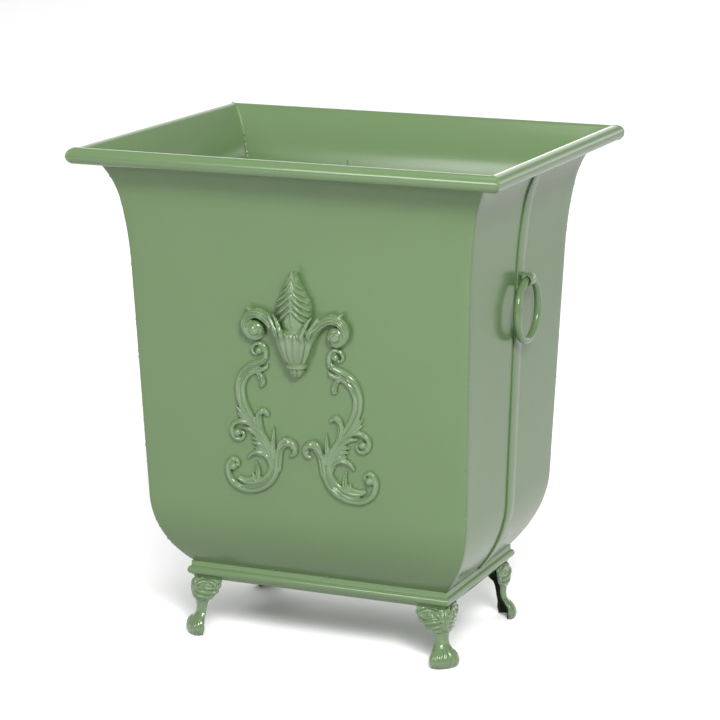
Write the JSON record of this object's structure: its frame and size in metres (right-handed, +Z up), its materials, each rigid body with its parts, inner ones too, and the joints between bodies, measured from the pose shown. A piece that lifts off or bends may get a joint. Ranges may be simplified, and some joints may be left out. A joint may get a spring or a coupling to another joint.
{
  "type": "scroll planter",
  "caption": "Flared rectangular sheet metal planter on claw feet, with a rolled rim, ring handles and an applied acanthus scroll ornament on the front.",
  "frame": {"origin": "on the floor under the middle of the body", "axes": "+Z up, the ornamented front faces -Y, the ring handles are on -X and +X"},
  "size_m": [0.402, 0.3278, 0.4572],
  "materials": {
    "painted_sheet": "gloss sage green paint on steel sheet",
    "painted_bar": "gloss sage green paint on steel bar and wire",
    "painted_casting": "gloss sage green paint on castings",
    "zinc_bolt": "zinc plated"
  },
  "bodies": {
    "planter": {"front_panel": "painted_sheet", "rear_panel": "painted_sheet", "left_side_panel": "painted_sheet", "right_side_panel": "painted_sheet", "bottom_plate": "painted_sheet", "left_side_strap": "painted_sheet", "right_side_strap": "painted_sheet", "left_ring_saddle": "painted_sheet", "right_ring_saddle": "painted_sheet", "front_rim_rail": "painted_sheet", "rear_rim_rail": "painted_sheet", "left_rim_rail": "painted_sheet", "right_rim_rail": "painted_sheet", "front_base_moulding": "painted_bar", "rear_base_moulding": "painted_bar", "left_base_moulding": "painted_bar", "right_base_moulding": "painted_bar", "front_left_foot": "painted_casting", "front_right_foot": "painted_casting", "rear_left_foot": "painted_casting", "rear_right_foot": "painted_casting", "crest_ornament": "painted_casting", "left_scroll_ornament": "painted_casting", "right_scroll_ornament": "painted_casting", "foot_bolts": "zinc_bolt", "foot_nuts": "zinc_bolt"},
    "left_handle": {"left_ring": "painted_bar"},
    "right_handle": {"right_ring": "painted_bar"}
  },
  "joints": [
    {"name": "left_ring_swing", "type": "hinge", "parent": "planter", "child": "left_handle", "pos_m": [-0.16814, 0, 0.34], "axis": [0, 1, 0], "range_deg": [-3, 165]},
    {"name": "right_ring_swing", "type": "hinge", "parent": "planter", "child": "right_handle", "pos_m": [0.16814, 0, 0.34], "axis": [0, -1, 0], "range_deg": [-3, 165]}
  ]
}
